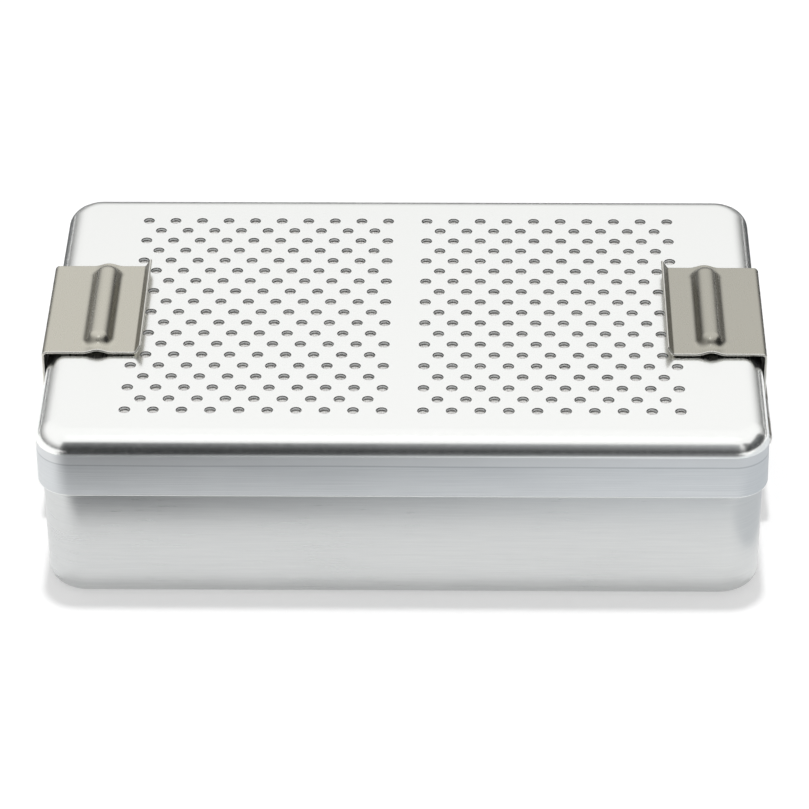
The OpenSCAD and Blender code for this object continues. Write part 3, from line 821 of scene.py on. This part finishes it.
def seen_share(tree, share):
    """The given share for rays from the camera and from metal, and nought for the light on the object."""
    path = tree.nodes.new("ShaderNodeLightPath")
    seen = maths(tree, "MAXIMUM", path.outputs["Is Camera Ray"], path.outputs["Is Glossy Ray"])
    through = maths(tree, "MAXIMUM", seen, path.outputs["Is Transmission Ray"])
    return maths(tree, "MULTIPLY", through, share)


def blend_shaders(tree, share, first, second, output):
    mix = tree.nodes.new("ShaderNodeMixShader")
    tree.links.new(share, mix.inputs[0])
    tree.links.new(first.outputs[0], mix.inputs[1])
    tree.links.new(second.outputs[0], mix.inputs[2])
    tree.links.new(mix.outputs[0], output.inputs[0])


def screen_shade(name, left, right):
    """A face whose light changes from left to right and from its foot up."""
    material, _, glow = glow_material(name, SHADE_TINT)
    tree = material.node_tree
    across = coordinate(tree, "Object", "X")
    width = (left[0], right[0])
    foot = map_range(tree, across, width, (left[1], right[1]))
    head = map_range(tree, across, width, (left[2], right[2]))
    height = map_range(tree, coordinate(tree, "Object", "Z"), SHADE_HEIGHTS)
    feed(tree, glow.inputs["Strength"], mix_values(tree, height, foot, head))
    return material


floor = new_grid("floor", (1, 1), (FLOOR_SIZE, FLOOR_SIZE), (0, 0, 0))
close_edit()
floor_white, output, glow = glow_material("floor_white", (FLOOR_GLOW, FLOOR_GLOW, FLOOR_GLOW))
tree = floor_white.node_tree
lit = tree.nodes.new("ShaderNodeBsdfDiffuse")
lit.inputs["Color"].default_value = FLOOR_WHITE
blend_shaders(tree, seen_share(tree, FLOOR_GLOW_SHARE), lit, glow, output)
paint(floor, floor_white)

for name, sides in SCREENS.items():
    size = [high - low for low, high in sides]
    centre = [(high + low) / 2 for low, high in sides]
    screen = new_cube(name, size, centre)
    close_edit()
    paint(screen, screen_shade(name, *SHADES[name]))
    screen.visible_camera = False
    screen.visible_diffuse = False
    screen.visible_shadow = False

lamp = bpy.data.lights.new("overhead", "SUN")
lamp.energy = LAMP_POWER
lamp.angle = LAMP_SPREAD
overhead = bpy.data.objects.new("overhead", lamp)
bpy.context.scene.collection.objects.link(overhead)
overhead.rotation_euler = (-LAMP_TILT, 0, 0)
overhead.visible_glossy = False

world = bpy.data.worlds.new("studio")
bpy.context.scene.world = world
world.use_nodes = True
tree = world.node_tree
tree.nodes.clear()
output = tree.nodes.new("ShaderNodeOutputWorld")
ambient = tree.nodes.new("ShaderNodeBackground")
ambient.inputs["Color"].default_value = WHITE
ambient.inputs["Strength"].default_value = AMBIENT
sky = tree.nodes.new("ShaderNodeBackground")
sky.inputs["Strength"].default_value = SKY
horizon = map_range(tree, coordinate(tree, "Generated", "X"), (-0.5, 0.5), (HORIZON_LEFT, HORIZON_RIGHT))
climb = map_range(tree, coordinate(tree, "Generated", "Z"), (0, SKY_CLEARS), (horizon, 1))
mirrored = tree.nodes.new("ShaderNodeLightPath").outputs["Is Glossy Ray"]
feed(tree, sky.inputs["Color"], mix_colours(tree, mirrored, WHITE, climb))
blend_shaders(tree, seen_share(tree, 1), ambient, sky, output)

# Camera: a long lens, a little to the right of the middle, looking down at 34 degrees.
SENSOR_WIDTH = 36
LENS = 176.476
CAMERA_PLACE = (0.02637, -1.3314, 0.92872)
CAMERA_AIM = Vector((-0.01675, 0.82881, -0.55929))
CAMERA_ROLL = -0.0078
camera_data = bpy.data.cameras.new("camera")
camera_data.sensor_width = SENSOR_WIDTH
camera_data.lens = LENS
camera = bpy.data.objects.new("camera", camera_data)
bpy.context.scene.collection.objects.link(camera)
camera.location = CAMERA_PLACE
camera.rotation_mode = "QUATERNION"
camera.rotation_quaternion = CAMERA_AIM.to_track_quat("-Z", "Y") @ Quaternion((0, 0, 1), CAMERA_ROLL)
bpy.context.scene.camera = camera
bpy.context.scene.view_settings.view_transform = "Standard"
